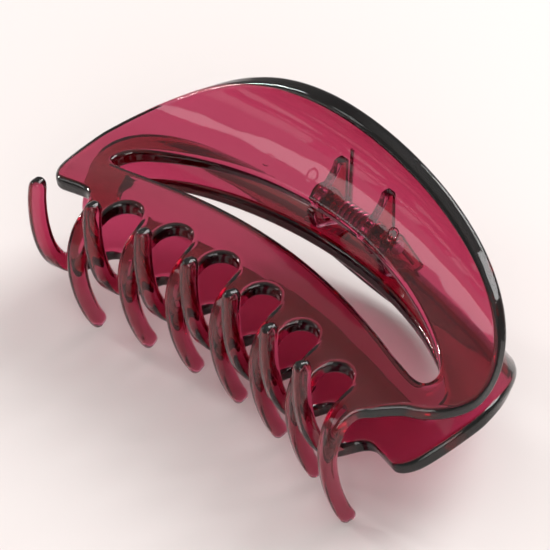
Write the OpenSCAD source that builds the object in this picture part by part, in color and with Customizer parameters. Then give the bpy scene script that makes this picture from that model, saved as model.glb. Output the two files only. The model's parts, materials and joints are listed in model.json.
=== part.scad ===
// Hair claw clip: two toothed jaws on a hinge pin, closed by a torsion spring.
// The clip lies on its side, on the tips of its end teeth and the rim of the lower grip.
// Clip frame: X along the hinge pin, Y from the teeth to the grips, Z through the two jaws.

/* [Jaw] */
// Spacing of the teeth along the row
pitch = 12.4; // [12.2:0.1:12.6]
// Thickness of the moulded wall
wall = 3.2; // [3:0.1:3.4]
// Overall length of a jaw
jaw_length = 108; // [106:1:109]
// Radius of the arch that the tooth row follows
arch_radius = 139; // [135:1:145]
// Lean of the arch's axis
arch_lean = 14.7; // [14:0.1:16]

/* [Teeth] */
// Width of the gap between two teeth at its rounded end
gap_width = 7.6; // [7.4:0.1:7.8]
// Extra width of the gap at the tips of the teeth
gap_flare = 1.9; // [1.5:0.1:2]
// Distance of the gaps' rounded ends behind the tips
gap_depth = 9.4; // [9:0.1:9.6]

/* [Window] */
// Length of the crescent window
window_length = 90; // [88:1:91]
// Front edge of the window at mid-length, behind the tips
window_front = 18.8; // [18.4:0.1:19.6]
// Back edge of the window at mid-length, behind the tips
window_back = 30.8; // [30:0.1:31]

/* [Hinge] */
// Distance of the hinge pin behind the tips of the teeth
hinge_y = 36.5; // [36.2:0.1:36.8]
// Radius of the hinge pin
pin_radius = 1; // [0.9:0.05:1.1]
// Clearance round the pin in the ears that turn on it
running_clearance = 0.05; // [0.03:0.01:0.08]
// Radius of a hinge ear round the pin
ear_radius = 2.8; // [2.6:0.1:2.9]
// Thickness of a hinge ear
ear_thickness = 2.2; // [2:0.1:2.3]
// Middle of an ear of the upper jaw, from the middle of the pin
inner_ear_x = 6.8; // [6.6:0.1:6.9]
// Middle of an ear of the lower jaw, from the middle of the pin
outer_ear_x = 10; // [9.8:0.1:10.4]

/* [Spring] */
// Diameter of the spring wire
wire = 0.9; // [0.8:0.05:1]
// Mean radius of the coil
coil_radius = 1.9; // [1.8:0.05:2]
// Whole turns in the coil
coil_turns = 7; // [6:1:8]
// Length of the coil along the pin
coil_length = 9; // [8.6:0.1:9.2]

/* [Rest] */
// Tilt of the closed clip as it lies
tilt = 10.1; // [9.7:0.1:10.4]
// Height of the hinge pin above the surface
hinge_height = 25.92; // [25.4:0.01:26.4]
// Distance of the hinge pin behind the middle of the footprint
hinge_back = 18.52; // [18.3:0.01:18.8]

/* [Hidden] */
$fn = 64;

plastic = "#8e1f3c";
steel = "#b9bcc0";
teeth = 7;

// The upper jaw's teeth stand a quarter of the pitch to +X, and the lower jaw's to -X
tooth_shift = pitch / 4;

// Reach of a cut that goes right through
far = 90;

// Segments between two knots of the face, and the turn of the arch about its axis
spline_steps = 4;
arc_span = 52;

// Outer face of a jaw in the plane x = 0, as [y, z] from a tooth's tip to the rim of the grip
face_knots = [
    [-0.9, -16.8], [-2.3, -12], [-3.1, -6], [-2.9, 0], [-1.5, 4.6], [1.2, 8.2], [4.9, 10],
    [9, 10.2], [13.4, 9.4], [18.6, 7.9], [23.7, 6.8], [28.6, 6.5], [32.8, 7.5],
    [36.4, 9.9], [38.8, 13.6], [39.7, 18], [39.4, 22.6], [38.2, 26.9]
];

// Outline of a jaw seen square on to the middle of its wall: its top, its widest place and
// how pointed the grip is, then the rounded ends of the plate in front of the widest place
outline_lean = 50;
rim_top = 45;
widest_at = 13.5;
grip_point = 1.35;
corner = 7.2;
right_low = 8.4;
left_low = 6.5;
end_gap_low = 7.8;

// The window is a crescent with blunt ends: how far its ends come forward, and their bluntness
window_sag = 9.8;
window_bluntness = 0.6;

// Heads of the hinge pin
head_radius = 1.7;
head_thickness = 0.8;

// End of the spring's upper leg from the pin, as [y, z], and the fineness of its wire
leg_end = [6.3, 13];
wire_sides = 8;
turn_rings = 16;
leg_rings = 4;

// A hinge ear's web: its front edge from the pin, its height up the grip and its top's depth
ear_front = 4.5;
ear_top = 9.6;
ear_top_depth = 2.2;

// Heights at which a gap between teeth has none, four fifths and all of its extra width
flare_heights = [8, -1, -17];

function catmull(a, b, c, d, t) =
    0.5 * (2 * b + (c - a) * t + (2 * a - 5 * b + 4 * c - d) * t * t
    + (3 * b - a - 3 * c + d) * t * t * t);
function knot(k, i) =
    i < 0 ? 2 * k[0] - k[1] :
    i >= len(k) ? 2 * k[len(k) - 1] - k[len(k) - 2] : k[i];
function spline(k, n) = [
    for (i = [0 : len(k) - 2], j = [0 : n - 1])
        catmull(knot(k, i - 1), knot(k, i), knot(k, i + 1), knot(k, i + 2), j / n),
    k[len(k) - 1]
];
function unit(v) = v / norm(v);
function tangent(p, i) = unit(p[min(i + 1, len(p) - 1)] - p[max(i - 1, 0)]);
function inset(p, d) = [
    for (i = [0 : len(p) - 1])
        let (t = tangent(p, i)) p[i] + d * [t[1], -t[0]]
];
function reversed(p) = [for (i = [len(p) - 1 : -1 : 0]) p[i]];

outer_face = spline(face_knots, spline_steps);
mid_face = inset(outer_face, wall / 2);
inner_face = inset(outer_face, wall);

// A point of the plane x = 0 as [distance from the arch's axis, height along it]
function on_arch(p) = [
    arch_radius + p[0] * cos(arch_lean) + p[1] * sin(arch_lean),
    p[1] * cos(arch_lean) - p[0] * sin(arch_lean)
];

// The curved wall before its outline, window and gaps are cut
module wall_sheet() {
    translate([0, -arch_radius * cos(arch_lean), -arch_radius * sin(arch_lean)])
        rotate([arch_lean, 0, 0])
            rotate([0, 0, 90 - arc_span / 2])
                rotate_extrude(angle = arc_span, $fn = 180)
                    polygon([
                        for (p = outer_face) on_arch(p),
                        for (p = reversed(inner_face)) on_arch(p)
                    ]);
}

// Half of the outline, from the middle of the rim round the plate's end to the gap at gap_x
function half_outline(gap_x, plate_low) = [
    for (a = [0 : 5 : 90])
        [jaw_length / 2 * sin(a), widest_at + (rim_top - widest_at) * pow(cos(a), grip_point)],
    for (a = [15 : 15 : 90])
        [jaw_length / 2 - corner * (1 - cos(a)), widest_at - (widest_at - plate_low) * sin(a)],
    [gap_x, end_gap_low],
    [gap_x, -far]
];

module outline_prism() {
    right = half_outline(teeth / 2 * pitch + tooth_shift, right_low);
    left = half_outline(teeth / 2 * pitch - tooth_shift, left_low);
    rotate([outline_lean, 0, 0])
        translate([0, 0, -far])
            linear_extrude(2 * far)
                polygon([
                    for (p = right) p,
                    for (i = [len(left) - 1 : -1 : 1]) [-left[i][0], left[i][1]]
                ]);
}

// A point of the window's edge: side is 1 for its back edge and -1 for its front edge
function window_point(a, side) =
    let (half_width = (window_back - window_front) / 2 * pow(cos(a), window_bluntness))
        [
            window_length / 2 * sin(a),
            (window_back + window_front) / 2 - window_sag * pow(sin(a), 2) + side * half_width
        ];

module window_prism() {
    linear_extrude(far)
        polygon([
            for (a = [-90 : 5 : 90]) window_point(a, 1),
            for (a = [85 : -5 : -85]) window_point(a, -1)
        ]);
}

// How far the arch brings a point of the tooth row forward at a distance x from mid-length
function arch_drop(x) = x * x / (2 * arch_radius);

// Space between two teeth: rounded at the back, wider towards the tips
module gap(x) {
    r = gap_width / 2;
    end_y = gap_depth - arch_drop(x) - r;
    middle_r = r + gap_flare * 0.4;
    tip_r = r + gap_flare / 2;
    translate([x, end_y, 0]) {
        cylinder(r = r, h = far);
        rotate([90, 0, 0])
            linear_extrude(far)
                polygon([
                    [-r, far], [r, far], [r, flare_heights[0]],
                    [middle_r, flare_heights[1]], [tip_r, flare_heights[2]],
                    [tip_r, -far], [-tip_r, -far], [-tip_r, flare_heights[2]],
                    [-middle_r, flare_heights[1]], [-r, flare_heights[0]]
                ]);
    }
}

// A hinge ear: a round end on the pin and a blunt web that runs up the inside of the grip
module ear(x) {
    front = hinge_y - ear_front;
    root = [for (p = mid_face) if (p[0] > front && p[1] < ear_top) p];
    top = root[len(root) - 1];
    translate([x - ear_thickness / 2, 0, 0])
        rotate([90, 0, 90])
            linear_extrude(ear_thickness) {
                translate([hinge_y, 0]) circle(ear_radius);
                polygon([
                    [front, 0],
                    for (p = root) p,
                    [top[0] + wall / 2 + ear_top_depth, top[1]],
                    [hinge_y + ear_radius, 0]
                ]);
            }
}

module pin_bore(r) {
    translate([-far, hinge_y, 0]) rotate([0, 90, 0]) cylinder(r = r, h = 2 * far);
}

module jaw(bore_radius, ear_x) {
    difference() {
        union() {
            difference() {
                intersection() {
                    wall_sheet();
                    outline_prism();
                }
                window_prism();
                for (i = [0 : teeth]) gap((i - teeth / 2) * pitch + tooth_shift);
            }
            ear(ear_x);
            ear(-ear_x);
        }
        pin_bore(bore_radius);
    }
}

module upper_jaw() {
    color(plastic) jaw(pin_radius + running_clearance, inner_ear_x);
}

module lower_jaw() {
    color(plastic) rotate([0, 180, 0]) jaw(pin_radius, outer_ear_x);
}

// Rivet-like heads on the lower jaw's ears keep the pin in
module hinge_pin() {
    outside = outer_ear_x + ear_thickness / 2;
    color(steel)
        translate([0, hinge_y, 0])
            rotate([0, 90, 0]) {
                translate([0, 0, -outside]) cylinder(r = pin_radius, h = 2 * outside);
                translate([0, 0, -outside - head_thickness])
                    cylinder(r = head_radius, h = head_thickness);
                translate([0, 0, outside]) cylinder(r = head_radius, h = head_thickness);
            }
}

// The spring's wire runs from the lower leg's end, round the coil and up the upper leg.
// Each station is [x, y, z, direction of the ring's first point round the pin].
leg_reach = norm(leg_end);
leg_angle = atan2(leg_end[1], leg_end[0]) + asin(coil_radius / leg_reach) - 90;
leg_length = sqrt(leg_reach * leg_reach - coil_radius * coil_radius);
coil_sweep = 360 * coil_turns + 2 * leg_angle;
function leg_station(side, s) = [
    side * coil_length / 2,
    hinge_y + coil_radius * cos(leg_angle) - s * sin(leg_angle),
    -side * (coil_radius * sin(leg_angle) + s * cos(leg_angle)),
    -side * leg_angle
];
function coil_station(t) =
    let (a = -leg_angle + coil_sweep * t)
        [coil_length * (0.5 - t), hinge_y + coil_radius * cos(a), coil_radius * sin(a), a];
wire_stations = [
    for (i = [leg_rings : -1 : 1]) leg_station(1, leg_length * i / leg_rings),
    for (i = [0 : coil_turns * turn_rings]) coil_station(i / (coil_turns * turn_rings)),
    for (i = [1 : leg_rings]) leg_station(-1, leg_length * i / leg_rings)
];

module spring() {
    n = len(wire_stations);
    color(steel)
        polyhedron(
            points = [
                for (w = wire_stations, k = [0 : wire_sides - 1])
                    let (b = 360 * k / wire_sides, r = wire / 2)
                        [
                            w[0] + r * sin(b),
                            w[1] + r * cos(b) * cos(w[3]),
                            w[2] + r * cos(b) * sin(w[3])
                        ]
            ],
            faces = [
                [for (k = [wire_sides - 1 : -1 : 0]) k],
                for (i = [0 : n - 2], k = [0 : wire_sides - 1])
                    let (a = i * wire_sides, b = a + wire_sides, m = (k + 1) % wire_sides)
                        [a + k, a + m, b + m, b + k],
                [for (k = [0 : wire_sides - 1]) (n - 1) * wire_sides + k]
            ]
        );
}

// Lays the clip down: the hinge pin ends up above and behind the middle of the footprint
module lying() {
    translate([0, hinge_back, hinge_height])
        rotate([tilt, 0, 0])
            translate([0, -hinge_y, 0]) children();
}

lying() lower_jaw();
lying() upper_jaw();
lying() hinge_pin();
lying() spring();
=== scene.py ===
"""Looks of the hair claw clip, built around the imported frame."""

import json
import math

import bpy
import numpy as np
from mathutils import Matrix, Vector
from mathutils.geometry import delaunay_2d_cdt


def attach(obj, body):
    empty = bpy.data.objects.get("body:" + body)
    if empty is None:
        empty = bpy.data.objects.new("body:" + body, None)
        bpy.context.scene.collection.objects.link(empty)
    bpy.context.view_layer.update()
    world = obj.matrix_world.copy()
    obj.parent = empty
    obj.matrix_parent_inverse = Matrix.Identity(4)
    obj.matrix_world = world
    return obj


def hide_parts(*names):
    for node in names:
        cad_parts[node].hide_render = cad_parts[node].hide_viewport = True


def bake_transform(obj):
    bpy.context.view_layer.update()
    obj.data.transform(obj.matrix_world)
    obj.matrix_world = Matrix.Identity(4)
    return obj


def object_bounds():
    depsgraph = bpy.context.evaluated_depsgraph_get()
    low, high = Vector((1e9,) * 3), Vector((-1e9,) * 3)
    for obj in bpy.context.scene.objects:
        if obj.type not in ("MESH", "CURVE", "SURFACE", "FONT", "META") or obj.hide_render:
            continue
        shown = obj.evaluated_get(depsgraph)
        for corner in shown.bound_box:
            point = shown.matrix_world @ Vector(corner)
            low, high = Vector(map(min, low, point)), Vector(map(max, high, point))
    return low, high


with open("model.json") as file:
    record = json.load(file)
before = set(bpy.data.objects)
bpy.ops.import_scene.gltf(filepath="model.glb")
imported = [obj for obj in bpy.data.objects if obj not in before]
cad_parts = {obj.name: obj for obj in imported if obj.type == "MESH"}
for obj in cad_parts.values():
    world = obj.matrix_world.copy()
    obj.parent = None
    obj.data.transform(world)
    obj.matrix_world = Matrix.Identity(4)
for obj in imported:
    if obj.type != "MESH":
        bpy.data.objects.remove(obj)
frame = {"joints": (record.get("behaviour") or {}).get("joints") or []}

cad_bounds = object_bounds()
MM = 0.001
HINGE = np.array(frame["joints"][0]["pos_m"]) / MM

# ---------------------------------------------------------------- the clip's own dimensions, in mm
WALL = 3.2
JAW_LENGTH = 108.0
ARCH_RADIUS = 139.0
ARCH_LEAN = math.radians(14.7)
# The outer face of the wall in the plane x = 0, as (y, z) from a tooth's tip to the rim
FACE_KNOTS = [
    (-0.9, -16.8), (-2.3, -12), (-3.1, -6), (-2.9, 0), (-1.5, 4.6), (1.2, 8.2), (4.9, 10),
    (9, 10.2), (13.4, 9.4), (18.6, 7.9), (23.7, 6.8), (28.6, 6.5), (32.8, 7.5),
    (36.4, 9.9), (38.8, 13.6), (39.7, 18), (39.4, 22.6), (38.2, 26.9),
]
# The row of teeth. A gap's flare is (height, extra half width), and a tip's length is in half widths
TEETH = 7
PITCH = 12.4
TOOTH_SHIFT = PITCH / 4
GAP_WIDTH = 7.6
GAP_FLARE = [(8, 0), (-1, 0.75), (-17, 0.95)]
GAP_DEPTH = 9.4
TIP_LENGTH = 1.15
# The outline, seen square on to the middle of the wall: the rim, the rounded ends of the plate, and
# the bearing at which the last gap's rounded end runs into the plate
OUTLINE_LEAN = math.radians(50)
RIM_TOP = 45.0
WIDEST_AT = 13.5
GRIP_POINT = 1.35
CORNER = 7.2
RIGHT_LOW = 8.4
LEFT_LOW = 6.5
SHOULDER_BEARING = 118
# The crescent window
WINDOW_LENGTH = 90.0
WINDOW_FRONT = 18.8
WINDOW_BACK = 30.8
WINDOW_SAG = 9.8
WINDOW_BLUNTNESS = 0.6
# The hinge, and how far the closed clip leans when it lies on its lower jaw
HINGE_Y = 36.5
TILT = math.radians(10.1)
EAR_RADIUS = 2.8
EAR_THICKNESS = 2.2
EAR_FRONT = 4.5
EAR_TOP = 9.6
EAR_TOP_DEPTH = 2.2
EAR_EMBED = 0.25
INNER_EAR_X = 6.8
OUTER_EAR_X = 10.0
BORE_RADIUS = 1.05
PIN_RADIUS = 1.0
HEAD_RADIUS = 1.7
HEAD_THICKNESS = 0.8
HEAD_BEVEL = 0.1
HEAD_RIM = 0.3
# The torsion spring: its legs end at (y, z) from the pin, and a half width is given to both sides of
# the middle for a blend between the jaws' motions, which this script doesn't make
WIRE = 0.9
COIL_RADIUS = 1.9
COIL_LENGTH = 9.0
COIL_TURNS = 7
LEG_END = (6.3, 13.0)
BLEND_HALF = 4.0

# ---------------------------------------------------------------- fineness of the meshes, in mm
SPLINE_STEPS = 16
TABLE_ROWS = 900
TABLE_BEYOND = 3.0
FLANK_POINTS = 30
GAP_END_POINTS = 20
TIP_POINTS = 14
EAR_ROOT_POINTS = 400
FINE_STEP = 0.15
LOOP_STEP = 0.6
OUTLINE_BLUR = 0.55
EDGE_RADIUS = 1.1
GRID_STEP = 1.5
EAR_STEP = 0.4
EAR_BLUR = 0.4
EAR_EDGE_RADIUS = 0.4
EAR_GRID_STEP = 0.9
BORE_SIDES = 40
PIN_SIDES = 48
WIRE_SIDES = 16
TURN_RINGS = 32
LEG_RINGS = 8
EDGE_ANGLES = [0, 22.5, 45, 67.5, 90]
DOME_ANGLES = [0, 15, 30, 45, 60, 75]
WIRE_END_ANGLES = [15, 35, 55, 75]

# ---------------------------------------------------------------- looks
PLASTIC_COLOUR = (0.76, 0.02, 0.31, 1)
PLASTIC_DENSITY = 860.0
PLASTIC_IOR = 1.5
PLASTIC_ROUGHNESS = (0.02, 0.07)
STEEL_COLOUR = (0.55, 0.54, 0.53, 1)
STEEL_ROUGHNESS = (0.2, 0.42)
FLOOR_COLOUR = (0.83, 0.775, 0.755, 1)
FLOOR_ROUGHNESS = 0.95
FLOOR_SIZE = 4
# Noise scales are in waves per metre, bump heights in metres, and most noise is in the span
PATCHES = 180
RIPPLES = 60
RIPPLE_HEIGHT = 0.0003
STREAKS = 900
GRAIN = 4000
GRAIN_HEIGHT = 0.00001
NOISE_SPAN = (0.3, 0.7)
# Ejector marks: (x, y) on the fin and their sizes in mm, and their height in ripple heights
MARKS = [(-20, 32.5), (-9.5, 35), (14, 34.5)]
MARK_RADIUS = 1.2
MARK_WIDTH = 0.25
MARK_HEIGHT = 0.15
# The world's two colours, each with the height of the view direction where it is reached
WORLD_STRENGTH = 1.0
WORLD_STOPS = [(0.72, (0.38, 0.365, 0.36, 1)), (0.95, (0.85, 0.82, 0.81, 1))]
# Area lights: name, place and size in metres, and power in watts
LIGHT_AIM = (0, 0, 0.02)
LIGHTS = [
    ("key", (0.1, 0.6, 0.65), (0.5, 0.5), 5.6),
    ("fill", (0.75, -0.5, 0.5), (0.6, 0.6), 4.0),
    ("left_panel", (-0.55, -0.53, 0.42), (0.2, 0.35), 0.5),
    ("left_bar", (-0.8, -0.25, 0.3), (0.05, 0.2), 1.6),
]
# The camera: lens and sensor in mm, the rest in metres
CAMERA_AZIMUTH = math.radians(51.7)
CAMERA_ELEVATION = math.radians(38)
CAMERA_ROLL = math.radians(-2.4)
CAMERA_DISTANCE = 1.24
CAMERA_AIM = (0.0025, -0.0045, 0.0272)
CAMERA_LENS = 441.0
CAMERA_SENSOR = 36
CAMERA_CLIP = (0.05, 20)


# ---------------------------------------------------------------- from the clip to the row frame
def lying_direction(directions):
    """Directions of the clip frame, in the row frame."""
    v = np.asarray(directions, float)
    c, s = math.cos(TILT), math.sin(TILT)
    return np.stack([v[:, 0], v[:, 1] * c - v[:, 2] * s, v[:, 1] * s + v[:, 2] * c], 1)


def lying(points):
    """Points of the clip frame, in mm, in the row frame, in metres."""
    return (lying_direction(np.asarray(points, float) - [0, HINGE_Y, 0]) + HINGE) * MM


# ---------------------------------------------------------------- the wall's middle surface
def spline(knots, steps):
    """A Catmull-Rom curve through the knots."""
    k = np.array(knots, float)
    k = np.vstack([2 * k[0] - k[1], k, 2 * k[-1] - k[-2]])
    out = []
    for i in range(1, len(k) - 2):
        a, b, c, d = k[i - 1 : i + 3]
        for t in np.arange(steps) / steps:
            out.append(
                0.5 * (2 * b + (c - a) * t + (2 * a - 5 * b + 4 * c - d) * t * t
                       + (3 * b - a - 3 * c + d) * t**3)
            )
    return np.array(out + [k[-2]])


def run_along(points):
    """The distance along a path at each of its points."""
    return np.concatenate([[0], np.cumsum(np.linalg.norm(np.diff(points, axis=0), axis=1))])


def make_profile():
    """The wall's middle line in the plane x = 0: distances along it, points and tangents."""
    outer = spline(FACE_KNOTS, SPLINE_STEPS)
    tangent = np.gradient(outer, axis=0)
    tangent /= np.linalg.norm(tangent, axis=1)[:, None]
    mid = outer + WALL / 2 * np.stack([tangent[:, 1], -tangent[:, 0]], 1)
    return run_along(mid), mid, tangent


PROFILE_S, PROFILE_MID, PROFILE_TANGENT = make_profile()
ARCH_COS, ARCH_SIN = math.cos(ARCH_LEAN), math.sin(ARCH_LEAN)
OUTLINE_COS, OUTLINE_SIN = math.cos(OUTLINE_LEAN), math.sin(OUTLINE_LEAN)
S_TABLE = np.linspace(0, PROFILE_S[-1] + TABLE_BEYOND, TABLE_ROWS)
# Every search along the profile starts here, above the tips, where y begins to grow
S_ABOVE_TEETH = float(PROFILE_S[2 * SPLINE_STEPS])


def wall(x, s, h):
    """Points of the wall: x along the clip, s along the profile, h off its middle surface."""
    x, s, h = (np.asarray(v, float) for v in (x, s, h))
    beyond = np.clip(s - PROFILE_S[-1], 0, None) + np.clip(s, None, 0)
    ty, tz = (np.interp(s, PROFILE_S, PROFILE_TANGENT[:, i]) for i in (0, 1))
    y = np.interp(s, PROFILE_S, PROFILE_MID[:, 0]) + beyond * ty
    z = np.interp(s, PROFILE_S, PROFILE_MID[:, 1]) + beyond * tz
    length = np.hypot(ty, tz)
    ny, nz = -tz / length, ty / length
    mid_radius = ARCH_RADIUS + y * ARCH_COS + z * ARCH_SIN
    radius = mid_radius + h * (ny * ARCH_COS + nz * ARCH_SIN)
    height = z * ARCH_COS - y * ARCH_SIN + h * (nz * ARCH_COS - ny * ARCH_SIN)
    turn = np.arcsin(x / mid_radius)
    out = radius * np.cos(turn)
    points = [radius * np.sin(turn), out * ARCH_COS - height * ARCH_SIN, out * ARCH_SIN + height * ARCH_COS]
    return np.stack(points, 1) - [0, ARCH_RADIUS * ARCH_COS, ARCH_RADIUS * ARCH_SIN]


def find_s(x, value, measure):
    """The s at which measure(y, z) reaches a value, at a distance x along the clip."""
    p = wall(np.full(len(S_TABLE), x), S_TABLE, 0 * S_TABLE)
    m = measure(p[:, 1], p[:, 2])
    keep = S_TABLE >= S_ABOVE_TEETH
    return float(np.interp(value, np.maximum.accumulate(m[keep]), S_TABLE[keep]))


def s_at_y(x, y):
    return find_s(x, y, lambda py, pz: py)


def s_at_w(x, w):
    """The s at a height w of the outline, which is seen along its lean."""
    return find_s(x, w, lambda py, pz: py * OUTLINE_COS + pz * OUTLINE_SIN)


# ---------------------------------------------------------------- outlines as (x, s)
def gap_end_y(centre):
    """The y of the middle of a gap's rounded end, which follows the arch."""
    return GAP_DEPTH - centre**2 / (2 * ARCH_RADIUS) - GAP_WIDTH / 2


def gap_side(centre, side):
    """One flank of a gap, from the tooth's tip up to the start of its rounded end."""
    r = GAP_WIDTH / 2
    top = s_at_y(centre + side * r, gap_end_y(centre))
    tip_radius = PITCH / 2 - r - GAP_FLARE[-1][1]
    heights, extra = zip(*GAP_FLARE[::-1])
    out = []
    for s in np.linspace(tip_radius, top, FLANK_POINTS):
        z = wall([centre], [s], [0])[0, 2]
        out.append((centre + side * (r + float(np.interp(z, heights, extra))), s))
    return out


def gap_end(centre, start, stop):
    """The rounded end of a gap, from one bearing to another: 0 is +X and 90 is away from the tips."""
    r = GAP_WIDTH / 2
    out = []
    for a in np.linspace(math.radians(start), math.radians(stop), GAP_END_POINTS):
        x = centre + r * math.cos(a)
        out.append((x, s_at_y(x, gap_end_y(centre) + r * math.sin(a))))
    return out


def tooth_tip(right, left):
    """The rounded tip between two flanks' lowest points."""
    radius = (right[0] - left[0]) / 2
    middle = (right[0] + left[0]) / 2
    return [
        (middle + radius * math.cos(a), right[1] - TIP_LENGTH * radius * math.sin(a))
        for a in np.linspace(0, math.pi, TIP_POINTS)[1:-1]
    ]


def plate_corner(low):
    """The rounded end of the plate in front of its widest place, from the rim inwards."""
    out = []
    for a in np.radians(np.arange(10, 91, 10)):
        x = JAW_LENGTH / 2 - CORNER * (1 - math.cos(a))
        out.append((x, s_at_w(x, WIDEST_AT - (WIDEST_AT - low) * math.sin(a))))
    return out


def rim():
    """The rim of the grip, from the left-hand end to the right-hand one."""
    out = []
    for a in np.radians(np.arange(-90, 91, 3)):
        x = JAW_LENGTH / 2 * math.sin(a)
        w = WIDEST_AT + (RIM_TOP - WIDEST_AT) * max(math.cos(a), 0) ** GRIP_POINT
        out.append((x, s_at_w(x, w)))
    return out


def outline():
    """The jaw's outline, clockwise from the right-hand end of the plate."""
    gaps = [(k - TEETH / 2) * PITCH + TOOTH_SHIFT for k in range(TEETH + 1)]
    loop = plate_corner(RIGHT_LOW)[:-1] + gap_end(gaps[-1], SHOULDER_BEARING, 180)
    for k in range(TEETH, 0, -1):
        down = gap_side(gaps[k], -1)[::-1]
        up = gap_side(gaps[k - 1], 1)
        loop += down + tooth_tip(down[-1], up[0]) + up
        loop += gap_end(gaps[k - 1], 0, 180 if k > 1 else 90)
    loop += [(-x, s) for x, s in plate_corner(LEFT_LOW)[::-1]]
    return np.array(loop + rim())


def window_outline():
    """The crescent window: its middle line sags as x^2 and its width ends bluntly."""
    loop = []
    for a in np.radians(np.arange(-90, 270, 3)):
        u = math.sin(a)
        half_width = (WINDOW_BACK - WINDOW_FRONT) / 2 * abs(math.cos(a)) ** WINDOW_BLUNTNESS
        middle = (WINDOW_BACK + WINDOW_FRONT) / 2 - WINDOW_SAG * u * u
        x = WINDOW_LENGTH / 2 * u
        loop.append((x, s_at_y(x, middle + math.copysign(half_width, math.cos(a)))))
    return np.array(loop)


# ---------------------------------------------------------------- plates with rounded edges
def resample(loop, step, blur):
    """A closed loop with even steps, its corners rounded by a blur."""
    def even(points, spacing):
        closed = np.vstack([points, points[:1]])
        run = run_along(closed)
        n = max(int(round(run[-1] / spacing)), 12)
        at = np.arange(n) * run[-1] / n
        return np.stack([np.interp(at, run, closed[:, i]) for i in (0, 1)], 1)

    def blurred(values):
        wrapped = np.concatenate([values[-reach:], values, values[:reach]])
        return np.convolve(wrapped, weights, "valid")

    fine = even(loop, FINE_STEP)
    reach = int(4 * blur / FINE_STEP) + 1
    weights = np.exp(-0.5 * (np.arange(-reach, reach + 1) * FINE_STEP / blur) ** 2)
    weights /= weights.sum()
    return even(np.stack([blurred(fine[:, i]) for i in (0, 1)], 1), step)


def area(loop):
    """The area inside a loop, positive when it runs counter-clockwise."""
    x, y = loop[:, 0], loop[:, 1]
    return 0.5 * float(np.sum(x * np.roll(y, -1) - np.roll(x, -1) * y))


def inward(loop, hole):
    """Unit normals that point into the plate's material."""
    t = np.roll(loop, -1, 0) - np.roll(loop, 1, 0)
    t /= np.linalg.norm(t, axis=1)[:, None]
    n = np.stack([-t[:, 1], t[:, 0]], 1)
    if (area(loop) < 0) != hole:
        n = -n
    return n


def inside(points, loop):
    """Whether each point is inside the loop."""
    x, y = points[:, 0], points[:, 1]
    hit = np.zeros(len(points), bool)
    for (x0, y0), (x1, y1) in zip(loop, np.roll(loop, -1, 0)):
        if y0 != y1:
            crosses = (y0 > y) != (y1 > y)
            hit ^= crosses & (x < (x1 - x0) * (y - y0) / (y1 - y0) + x0)
    return hit


def in_material(points, inner):
    """Whether each point is inside a plate's outer ring and outside its holes."""
    hit = inside(points, inner[0])
    for hole in inner[1:]:
        hit &= ~inside(points, hole)
    return hit


def edge_rings(loop, hole, thickness, radius):
    """Rings over a plate's rounded edge, from its upper face to its lower face."""
    n_in = inward(loop, hole)
    rings = []
    for sign, angles in ((1, EDGE_ANGLES[::-1]), (-1, EDGE_ANGLES)):
        for t in np.radians(angles):
            at = loop + n_in * radius * (1 - math.cos(t))
            height = np.full((len(loop), 1), sign * (thickness / 2 - radius + radius * math.sin(t)))
            facing = np.hstack([-n_in * math.cos(t), np.full((len(loop), 1), sign * math.sin(t))])
            rings.append((np.hstack([at, height]), facing))
    return rings


def inner_spots(inner, grid):
    """A staggered grid of points inside a plate's flat part, clear of its rings."""
    row_height, clearance, batch = grid * 0.87, grid * 0.55, 200
    low, high = inner[0].min(0), inner[0].max(0)
    gx, gy = np.meshgrid(np.arange(low[0], high[0], grid), np.arange(low[1], high[1], row_height))
    gx[1::2] += grid / 2
    spots = np.stack([gx.ravel(), gy.ravel()], 1)
    spots = spots[in_material(spots, inner)]
    near = np.full(len(spots), np.inf)
    edge = np.vstack(inner)
    for k in range(0, len(edge), batch):
        away = np.linalg.norm(spots[:, None] - edge[None, k : k + batch], axis=2)
        near = np.minimum(near, away.min(1))
    return spots[near > clearance]


def flat_triangles(inner, spots):
    """Triangles between a plate's inner rings and its grid, counter-clockwise seen from above."""
    same_point, no_area = 1e-7, 1e-9
    constraints, start = [], 0
    for loop in inner:
        m = len(loop)
        constraints += [(start + i, start + (i + 1) % m) for i in range(m)]
        start += m
    flat = [Vector(p) for p in np.vstack(inner + [spots])]
    found, _, corners, origins, _, _ = delaunay_2d_cdt(flat, constraints, [], 0, same_point, True)
    if not all(origins):
        raise ValueError("a plate's inner ring crosses itself")
    found = np.array([tuple(v) for v in found])
    source = [o[0] for o in origins]
    middle = np.array([found[list(t)].mean(0) for t in corners])
    triangles = []
    for t, used in zip(corners, in_material(middle, inner)):
        a, b, c = (found[i] for i in t)
        turn = (b[0] - a[0]) * (c[1] - a[1]) - (b[1] - a[1]) * (c[0] - a[0])
        if used and abs(turn) > no_area:
            ids = [source[i] for i in t]
            triangles.append(ids if turn > 0 else ids[::-1])
    return triangles


def placed_normals(place, uvh, facing):
    """Unit normals after place() for normals given in the plate's own directions."""
    step = 0.02
    along = []
    for axis in range(3):
        shift = np.zeros(3)
        shift[axis] = step
        along.append(place(*(uvh + shift).T) - place(*(uvh - shift).T))
    du, dv, dh = along
    normal = facing[:, :1] * np.cross(dv, dh)
    normal += facing[:, 1:2] * np.cross(dh, du)
    normal += facing[:, 2:] * np.cross(du, dv)
    return normal / np.linalg.norm(normal, axis=1)[:, None]


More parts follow.
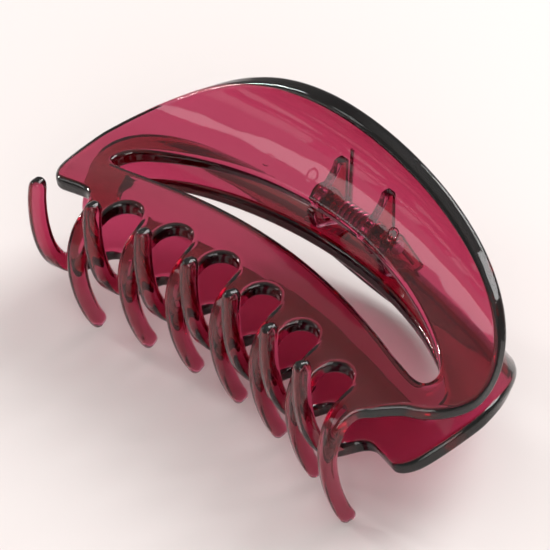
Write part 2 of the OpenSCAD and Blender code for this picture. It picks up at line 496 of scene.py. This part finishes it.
def plate(loops, place, thickness, radius, grid):
    """A closed plate with rounded edges over a 2-D outline and its holes: points, faces, normals.

    place(u, v, h) puts its points in the clip's frame.
    """
    uvh, facing, faces, tops, bottoms, count = [], [], [], [], [], 0
    for index, loop in enumerate(loops):
        flip = (area(loop) > 0) == (index == 0)
        n = len(loop)
        rings = edge_rings(loop, index > 0, thickness, radius)
        for at, normal in rings:
            uvh.append(at)
            facing.append(normal)
        for row in range(len(rings) - 1):
            a, b = count + row * n, count + (row + 1) * n
            for i in range(n):
                quad = (a + i, b + i, b + (i + 1) % n, a + (i + 1) % n)
                faces.append(quad if flip else quad[::-1])
        tops.append(np.arange(count, count + n))
        bottoms.append(np.arange(count + (len(rings) - 1) * n, count + len(rings) * n))
        count += len(rings) * n
    inner = [loop + inward(loop, index > 0) * radius for index, loop in enumerate(loops)]
    spots = inner_spots(inner, grid)
    triangles = flat_triangles(inner, spots)
    for sign, edge in ((1, tops), (-1, bottoms)):
        lookup = np.concatenate(edge + [np.arange(count, count + len(spots))])
        faces += [[int(lookup[i]) for i in t][::sign] for t in triangles]
        uvh.append(np.hstack([spots, np.full((len(spots), 1), sign * thickness / 2)]))
        facing.append(np.tile([0.0, 0.0, float(sign)], (len(spots), 1)))
        count += len(spots)
    uvh, facing = np.vstack(uvh), np.vstack(facing)
    return place(*uvh.T), faces, placed_normals(place, uvh, facing)


def add_piece(name, parts, body, node, material):
    """One object made of closed parts, each given as points, faces and normals in the clip frame."""
    points, faces, normals, base = [], [], [], 0
    for p, f, n in parts:
        points.append(p)
        normals.append(n)
        faces += [[i + base for i in q] for q in f]
        base += len(p)
    mesh = bpy.data.meshes.new(name)
    mesh.from_pydata(lying(np.vstack(points)).tolist(), [], faces)
    mesh.update()
    mesh.shade_smooth()
    mesh.normals_split_custom_set_from_vertices(lying_direction(np.vstack(normals)).tolist())
    mesh.materials.append(material)
    obj = bpy.data.objects.new(name, mesh)
    bpy.context.scene.collection.objects.link(obj)
    if body:
        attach(obj, body)
    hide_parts(node)
    return obj


# ---------------------------------------------------------------- the two jaws
def ear_outline(x):
    """A hinge ear at x: a round end on the pin and a blunt web up the inside of the grip."""
    s = np.linspace(0, PROFILE_S[-1], EAR_ROOT_POINTS)
    root = wall(np.full(len(s), x), s, np.full(len(s), EAR_EMBED - WALL / 2))[:, 1:]
    root = root[(root[:, 0] > HINGE_Y - EAR_FRONT) & (root[:, 1] < EAR_TOP)]
    root = root[root[:, 0].argmin() :]
    top = root[-1]
    loop = [(HINGE_Y - EAR_FRONT, 0)]
    for a in np.radians(np.arange(200, 361, 10)):
        loop.append((HINGE_Y + EAR_RADIUS * math.cos(a), EAR_RADIUS * math.sin(a)))
    loop.append((top[0] + EAR_TOP_DEPTH + EAR_EMBED, top[1]))
    return np.array(loop + [tuple(p) for p in root[::-1]])


def bore():
    """The hole of an ear, round the pin."""
    return np.array([
        (HINGE_Y + BORE_RADIUS * math.cos(a), BORE_RADIUS * math.sin(a))
        for a in np.linspace(0, 2 * math.pi, BORE_SIDES, endpoint=False)
    ])


def ear(x):
    """A hinge ear with its middle at x."""
    shape = [resample(ear_outline(x), EAR_STEP, EAR_BLUR), bore()]

    def place(y, z, h):
        return np.stack([x + h, y, z], 1)

    return plate(shape, place, EAR_THICKNESS, EAR_EDGE_RADIUS, EAR_GRID_STEP)


def build_jaw(name, body, node, ear_x, half_turn):
    """A jaw: its curved wall and two ears, turned half a turn about Y for the lower one."""
    loops = [resample(loop, LOOP_STEP, OUTLINE_BLUR) for loop in (outline(), window_outline())]
    parts = [plate(loops, wall, WALL, EDGE_RADIUS, GRID_STEP), ear(ear_x), ear(-ear_x)]
    if half_turn:
        turn = np.array([-1, 1, -1])
        parts = [(p * turn, f, n * turn) for p, f, n in parts]
    add_piece(name, parts, body, node, plastic)


# ---------------------------------------------------------------- the spring and the pin
def smooth_normals(points, faces):
    """Each point's unit normal, as the mean of the faces round it."""
    normal = np.zeros_like(points)
    for f in faces:
        corner = points[list(f)]
        weight = np.cross(corner[1] - corner[0], corner[-1] - corner[0])
        for i in f:
            normal[i] += weight
    return normal / np.linalg.norm(normal, axis=1)[:, None]


def rings_to_part(rings, end_points):
    """A closed part with smooth normals: a skin over rings of equal length, and a point at each end."""
    n = len(rings[0])
    points = np.vstack([end_points[0]] + list(rings) + [end_points[1]])
    faces = [(0, 1 + (i + 1) % n, 1 + i) for i in range(n)]
    for row in range(len(rings) - 1):
        a, b = 1 + row * n, 1 + (row + 1) * n
        faces += [(a + i, a + (i + 1) % n, b + (i + 1) % n, b + i) for i in range(n)]
    last = 1 + (len(rings) - 1) * n
    faces += [(last + i, last + (i + 1) % n, len(points) - 1) for i in range(n)]
    return points, faces, smooth_normals(points, faces)


def wire_stations():
    """The wire's middle line, as points and the direction of each ring's first point."""
    reach = math.hypot(*LEG_END)
    lean = math.atan2(LEG_END[1], LEG_END[0]) + math.asin(COIL_RADIUS / reach) - math.pi / 2
    length = math.sqrt(reach**2 - COIL_RADIUS**2)
    sweep = 2 * math.pi * COIL_TURNS + 2 * lean

    def leg(side, s):
        y = HINGE_Y + COIL_RADIUS * math.cos(lean) - s * math.sin(lean)
        z = -side * (COIL_RADIUS * math.sin(lean) + s * math.cos(lean))
        return (side * COIL_LENGTH / 2, y, z), -side * lean

    stations = [leg(1, s) for s in np.linspace(length, 0, LEG_RINGS, endpoint=False)]
    for t in np.linspace(0, 1, COIL_TURNS * TURN_RINGS + 1):
        a = sweep * t - lean
        y, z = HINGE_Y + COIL_RADIUS * math.cos(a), COIL_RADIUS * math.sin(a)
        stations.append(((COIL_LENGTH * (0.5 - t), y, z), a))
    return stations + [leg(-1, s) for s in np.linspace(0, length, LEG_RINGS + 1)[1:]]


def build_spring():
    """The torsion spring: a wire with rounded ends."""
    stations = wire_stations()
    centres = np.array([c for c, _ in stations])
    turns = np.linspace(2 * math.pi, 0, WIRE_SIDES, endpoint=False)

    def ring(centre, angle, radius):
        radial = np.array([0, math.cos(angle), math.sin(angle)])
        return centre + radius * (np.sin(turns)[:, None] * [1, 0, 0] + np.cos(turns)[:, None] * radial)

    def tip(end, beside):
        out = centres[end] - centres[beside]
        out /= np.linalg.norm(out)
        caps = [
            ring(centres[end] - out * WIRE / 2 * (1 - math.sin(a)), stations[end][1], WIRE / 2 * math.cos(a))
            for a in np.radians(WIRE_END_ANGLES)
        ]
        return caps, centres[end]

    first, first_point = tip(0, 1)
    last, last_point = tip(-1, -2)
    rings = first[::-1] + [ring(c, a, WIRE / 2) for c, a in stations[1:-1]] + last
    part = rings_to_part(rings, (first_point, last_point))
    spring = add_piece("spring_wire", [part], None, "spring", steel)
    at_hinge = [(x * MM, HINGE[1] * MM, HINGE[2] * MM) for x in (BLEND_HALF, -BLEND_HALF)]
    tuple(at_hinge[0])
    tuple(at_hinge[1])
    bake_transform(spring)


def build_pin():
    """The hinge pin: a shaft between two domed heads."""
    face = OUTER_EAR_X + EAR_THICKNESS / 2
    tip = face + HEAD_THICKNESS
    half = [(face, PIN_RADIUS), (face, HEAD_RADIUS - HEAD_BEVEL), (face + HEAD_BEVEL, HEAD_RADIUS)]
    for a in np.radians(DOME_ANGLES):
        dome = (HEAD_THICKNESS - HEAD_RIM) * math.sin(a)
        half.append((face + HEAD_RIM + dome, HEAD_RADIUS * math.cos(a)))
    profile = [(-x, r) for x, r in half[::-1]] + half
    turns = np.linspace(0, 2 * math.pi, PIN_SIDES, endpoint=False)
    rings = [
        np.stack([np.full(PIN_SIDES, x), HINGE_Y + r * np.cos(turns), r * np.sin(turns)], 1)
        for x, r in profile
    ]
    part = rings_to_part(rings, ([-tip, HINGE_Y, 0], [tip, HINGE_Y, 0]))
    add_piece("hinge_pin_rivet", [part], "lower", "hinge_pin", steel)


# ---------------------------------------------------------------- materials
def new_material(name):
    material = bpy.data.materials.new(name)
    material.use_nodes = True
    tree = material.node_tree
    return material, tree, tree.nodes["Principled BSDF"]


def add_node(tree, kind, **inputs):
    """A shader node with values for its inputs, their names' spaces written as underscores."""
    node = tree.nodes.new(kind)
    for key, value in inputs.items():
        node.inputs[key.replace("_", " ")].default_value = value
    return node


def noise(tree, scale, detail=3.0):
    """Noise in the part's own coordinates, with scale in waves per metre."""
    place = add_node(tree, "ShaderNodeTexCoord")
    node = add_node(tree, "ShaderNodeTexNoise", Scale=scale, Detail=detail)
    tree.links.new(place.outputs["Object"], node.inputs["Vector"])
    return node.outputs["Fac"]


def vary(tree, source, socket, low, high):
    """Spreads a noise over a range and links it to a shader's socket."""
    start, stop = NOISE_SPAN
    node = add_node(tree, "ShaderNodeMapRange", To_Min=low, To_Max=high, From_Min=start, From_Max=stop)
    tree.links.new(source, node.inputs["Value"])
    tree.links.new(node.outputs["Result"], socket)


def bump(tree, shader, height, distance):
    """Links a height to a shader's normal."""
    node = add_node(tree, "ShaderNodeBump", Strength=1.0, Distance=distance)
    tree.links.new(height, node.inputs["Height"])
    tree.links.new(node.outputs["Normal"], shader.inputs["Normal"])


def mark_centres():
    """Where the moulding's ejector pins left their rings, on both jaws."""
    x, s = np.array([(x, s_at_y(x, y)) for x, y in MARKS]).T
    points = wall(x, s, np.full(len(x), WALL / 2))
    return lying(np.vstack([points, points * [-1, 1, -1]]))


def add_ring(tree, height, centre):
    """Adds a faint ring round a centre to a height for the bump."""
    place = add_node(tree, "ShaderNodeTexCoord")
    away = add_node(tree, "ShaderNodeVectorMath")
    away.operation = "DISTANCE"
    away.inputs[1].default_value = centre
    tree.links.new(place.outputs["Object"], away.inputs[0])
    edge = add_node(tree, "ShaderNodeMath")
    edge.operation = "SUBTRACT"
    edge.inputs[1].default_value = MARK_RADIUS * MM
    tree.links.new(away.outputs["Value"], edge.inputs[0])
    ridge = add_node(tree, "ShaderNodeMath")
    ridge.operation = "ABSOLUTE"
    tree.links.new(edge.outputs["Value"], ridge.inputs[0])
    shape = add_node(
        tree, "ShaderNodeMapRange", From_Min=0, From_Max=MARK_WIDTH * MM, To_Min=MARK_HEIGHT, To_Max=0
    )
    tree.links.new(ridge.outputs["Value"], shape.inputs["Value"])
    total = add_node(tree, "ShaderNodeMath")
    tree.links.new(height, total.inputs[0])
    tree.links.new(shape.outputs["Result"], total.inputs[1])
    return total.outputs["Value"]


def plastic_material():
    """Clear burgundy plastic: a polished skin and a body that absorbs green and blue."""
    material, tree, shader = new_material("burgundy_plastic")
    shader.inputs["Base Color"].default_value = (1, 1, 1, 1)
    shader.inputs["IOR"].default_value = PLASTIC_IOR
    shader.inputs["Transmission Weight"].default_value = 1.0
    vary(tree, noise(tree, PATCHES), shader.inputs["Roughness"], *PLASTIC_ROUGHNESS)
    height = noise(tree, RIPPLES, 1.0)
    for centre in mark_centres():
        height = add_ring(tree, height, centre)
    bump(tree, shader, height, RIPPLE_HEIGHT)
    body = add_node(tree, "ShaderNodeVolumeAbsorption", Color=PLASTIC_COLOUR, Density=PLASTIC_DENSITY)
    tree.links.new(body.outputs["Volume"], tree.nodes["Material Output"].inputs["Volume"])
    return material


def steel_material():
    """Drawn spring wire: bright, with fine streaks."""
    material, tree, shader = new_material("spring_steel")
    shader.inputs["Base Color"].default_value = STEEL_COLOUR
    shader.inputs["Metallic"].default_value = 1.0
    vary(tree, noise(tree, STREAKS), shader.inputs["Roughness"], *STEEL_ROUGHNESS)
    bump(tree, shader, noise(tree, GRAIN), GRAIN_HEIGHT)
    return material


def floor_material():
    material, _, shader = new_material("floor")
    shader.inputs["Base Color"].default_value = FLOOR_COLOUR
    shader.inputs["Roughness"].default_value = FLOOR_ROUGHNESS
    return material


# ---------------------------------------------------------------- floor, light and camera
def add_floor():
    """A plain floor at the height that the clip lies on."""
    bpy.ops.mesh.primitive_plane_add(size=FLOOR_SIZE, location=(0, 0, cad_bounds[0][2]))
    floor = bpy.context.object
    floor.name = "floor"
    floor.data.materials.append(floor_material())


def studio_world():
    """A soft surround, bright overhead and darker towards the horizon."""
    world = bpy.data.worlds.new("studio")
    bpy.context.scene.world = world
    world.use_nodes = True
    tree = world.node_tree
    place = add_node(tree, "ShaderNodeTexCoord")
    split = add_node(tree, "ShaderNodeSeparateXYZ")
    ramp = add_node(tree, "ShaderNodeValToRGB")
    for stop, (height, colour) in zip(ramp.color_ramp.elements, WORLD_STOPS):
        stop.position = height
        stop.color = colour
    tree.links.new(place.outputs["Generated"], split.inputs["Vector"])
    tree.links.new(split.outputs["Z"], ramp.inputs["Fac"])
    background = tree.nodes["Background"]
    background.inputs["Strength"].default_value = WORLD_STRENGTH
    tree.links.new(ramp.outputs["Color"], background.inputs["Color"])


def area_light(name, position, size, power):
    """A rectangular light, turned to the clip."""
    data = bpy.data.lights.new(name, "AREA")
    data.shape = "RECTANGLE"
    data.size, data.size_y = size
    data.energy = power
    obj = bpy.data.objects.new(name, data)
    bpy.context.scene.collection.objects.link(obj)
    obj.location = position
    aim = Vector(LIGHT_AIM) - Vector(position)
    obj.rotation_euler = aim.to_track_quat("-Z", "Y").to_euler()


def add_camera():
    """The main camera: round from -Y, up from the floor, and rolled about its own axis."""
    a, e = CAMERA_AZIMUTH, CAMERA_ELEVATION
    back = Vector((math.sin(a) * math.cos(e), -math.cos(a) * math.cos(e), math.sin(e)))
    right = Vector((math.cos(a), math.sin(a), 0))
    up = back.cross(right)
    c, s = math.cos(CAMERA_ROLL), math.sin(CAMERA_ROLL)
    right, up = c * right + s * up, c * up - s * right
    data = bpy.data.cameras.new("camera")
    data.lens = CAMERA_LENS
    data.sensor_width = CAMERA_SENSOR
    data.clip_start, data.clip_end = CAMERA_CLIP
    obj = bpy.data.objects.new("camera", data)
    bpy.context.scene.collection.objects.link(obj)
    turn = Matrix((right, up, back)).transposed().to_4x4()
    obj.matrix_world = Matrix.Translation(Vector(CAMERA_AIM) + CAMERA_DISTANCE * back) @ turn
    bpy.context.scene.camera = obj


# ---------------------------------------------------------------- the scene
plastic = plastic_material()
steel = steel_material()
build_jaw("upper_jaw_moulding", "upper", "upper_jaw", INNER_EAR_X, False)
build_jaw("lower_jaw_moulding", "lower", "lower_jaw", OUTER_EAR_X, True)
build_pin()
build_spring()
add_floor()
studio_world()
for light in LIGHTS:
    area_light(*light)
add_camera()
bpy.context.scene.view_settings.view_transform = "Standard"
